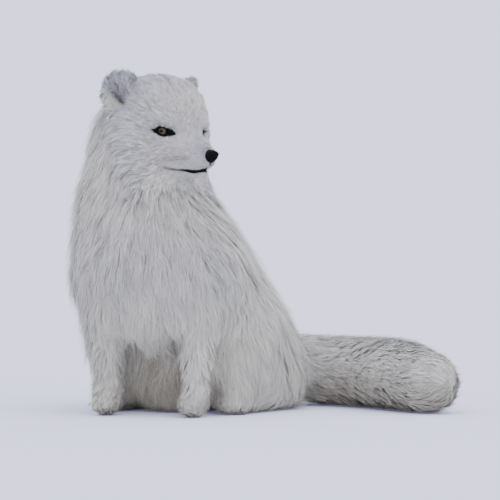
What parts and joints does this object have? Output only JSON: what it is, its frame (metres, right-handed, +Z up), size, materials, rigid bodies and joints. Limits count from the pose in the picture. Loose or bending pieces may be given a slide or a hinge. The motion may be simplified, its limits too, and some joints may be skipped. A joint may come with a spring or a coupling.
{
  "type": "arctic fox",
  "caption": "Life-size still model of an arctic fox in thick white winter coat, sitting with its head turned to its left and its bushy tail laid out on the floor.",
  "frame": {"origin": "on the floor, under the middle of the fox's bounding box", "axes": "+Z up, -Y the way the fox's chest and forefeet face, +X towards the fox's left side, where the tail lies"},
  "size_m": [0.4554, 0.379, 0.4079],
  "materials": {
    "coat": "soft matte white winter fur in long overlapping tufts, with grey-brown shade on the belly and tail",
    "eye": "wet glossy amber-brown eye with a black pupil",
    "nose": "moist black pebbled nose leather",
    "lids": "dark bare skin of the eyelids and lips",
    "claw": "smooth dark horn",
    "pads": "dull dark toe pads under the fur",
    "whisker": "fine stiff dark whiskers"
  },
  "bodies": {
    "root": {"head": "coat", "lower_jaw": "coat", "nose": "nose", "ear_left": "coat", "ear_right": "coat", "eye_left": "eye", "eye_right": "eye", "neck": "coat", "trunk": "coat", "fore_leg_left": "coat", "fore_leg_right": "coat", "fore_paw_left": "coat", "fore_paw_right": "coat", "thigh_left": "coat", "thigh_right": "coat", "hind_foot_left": "coat", "hind_foot_right": "coat", "tail_base": "coat", "tail_middle": "coat", "tail_tip": "coat"}
  },
  "joints": []
}
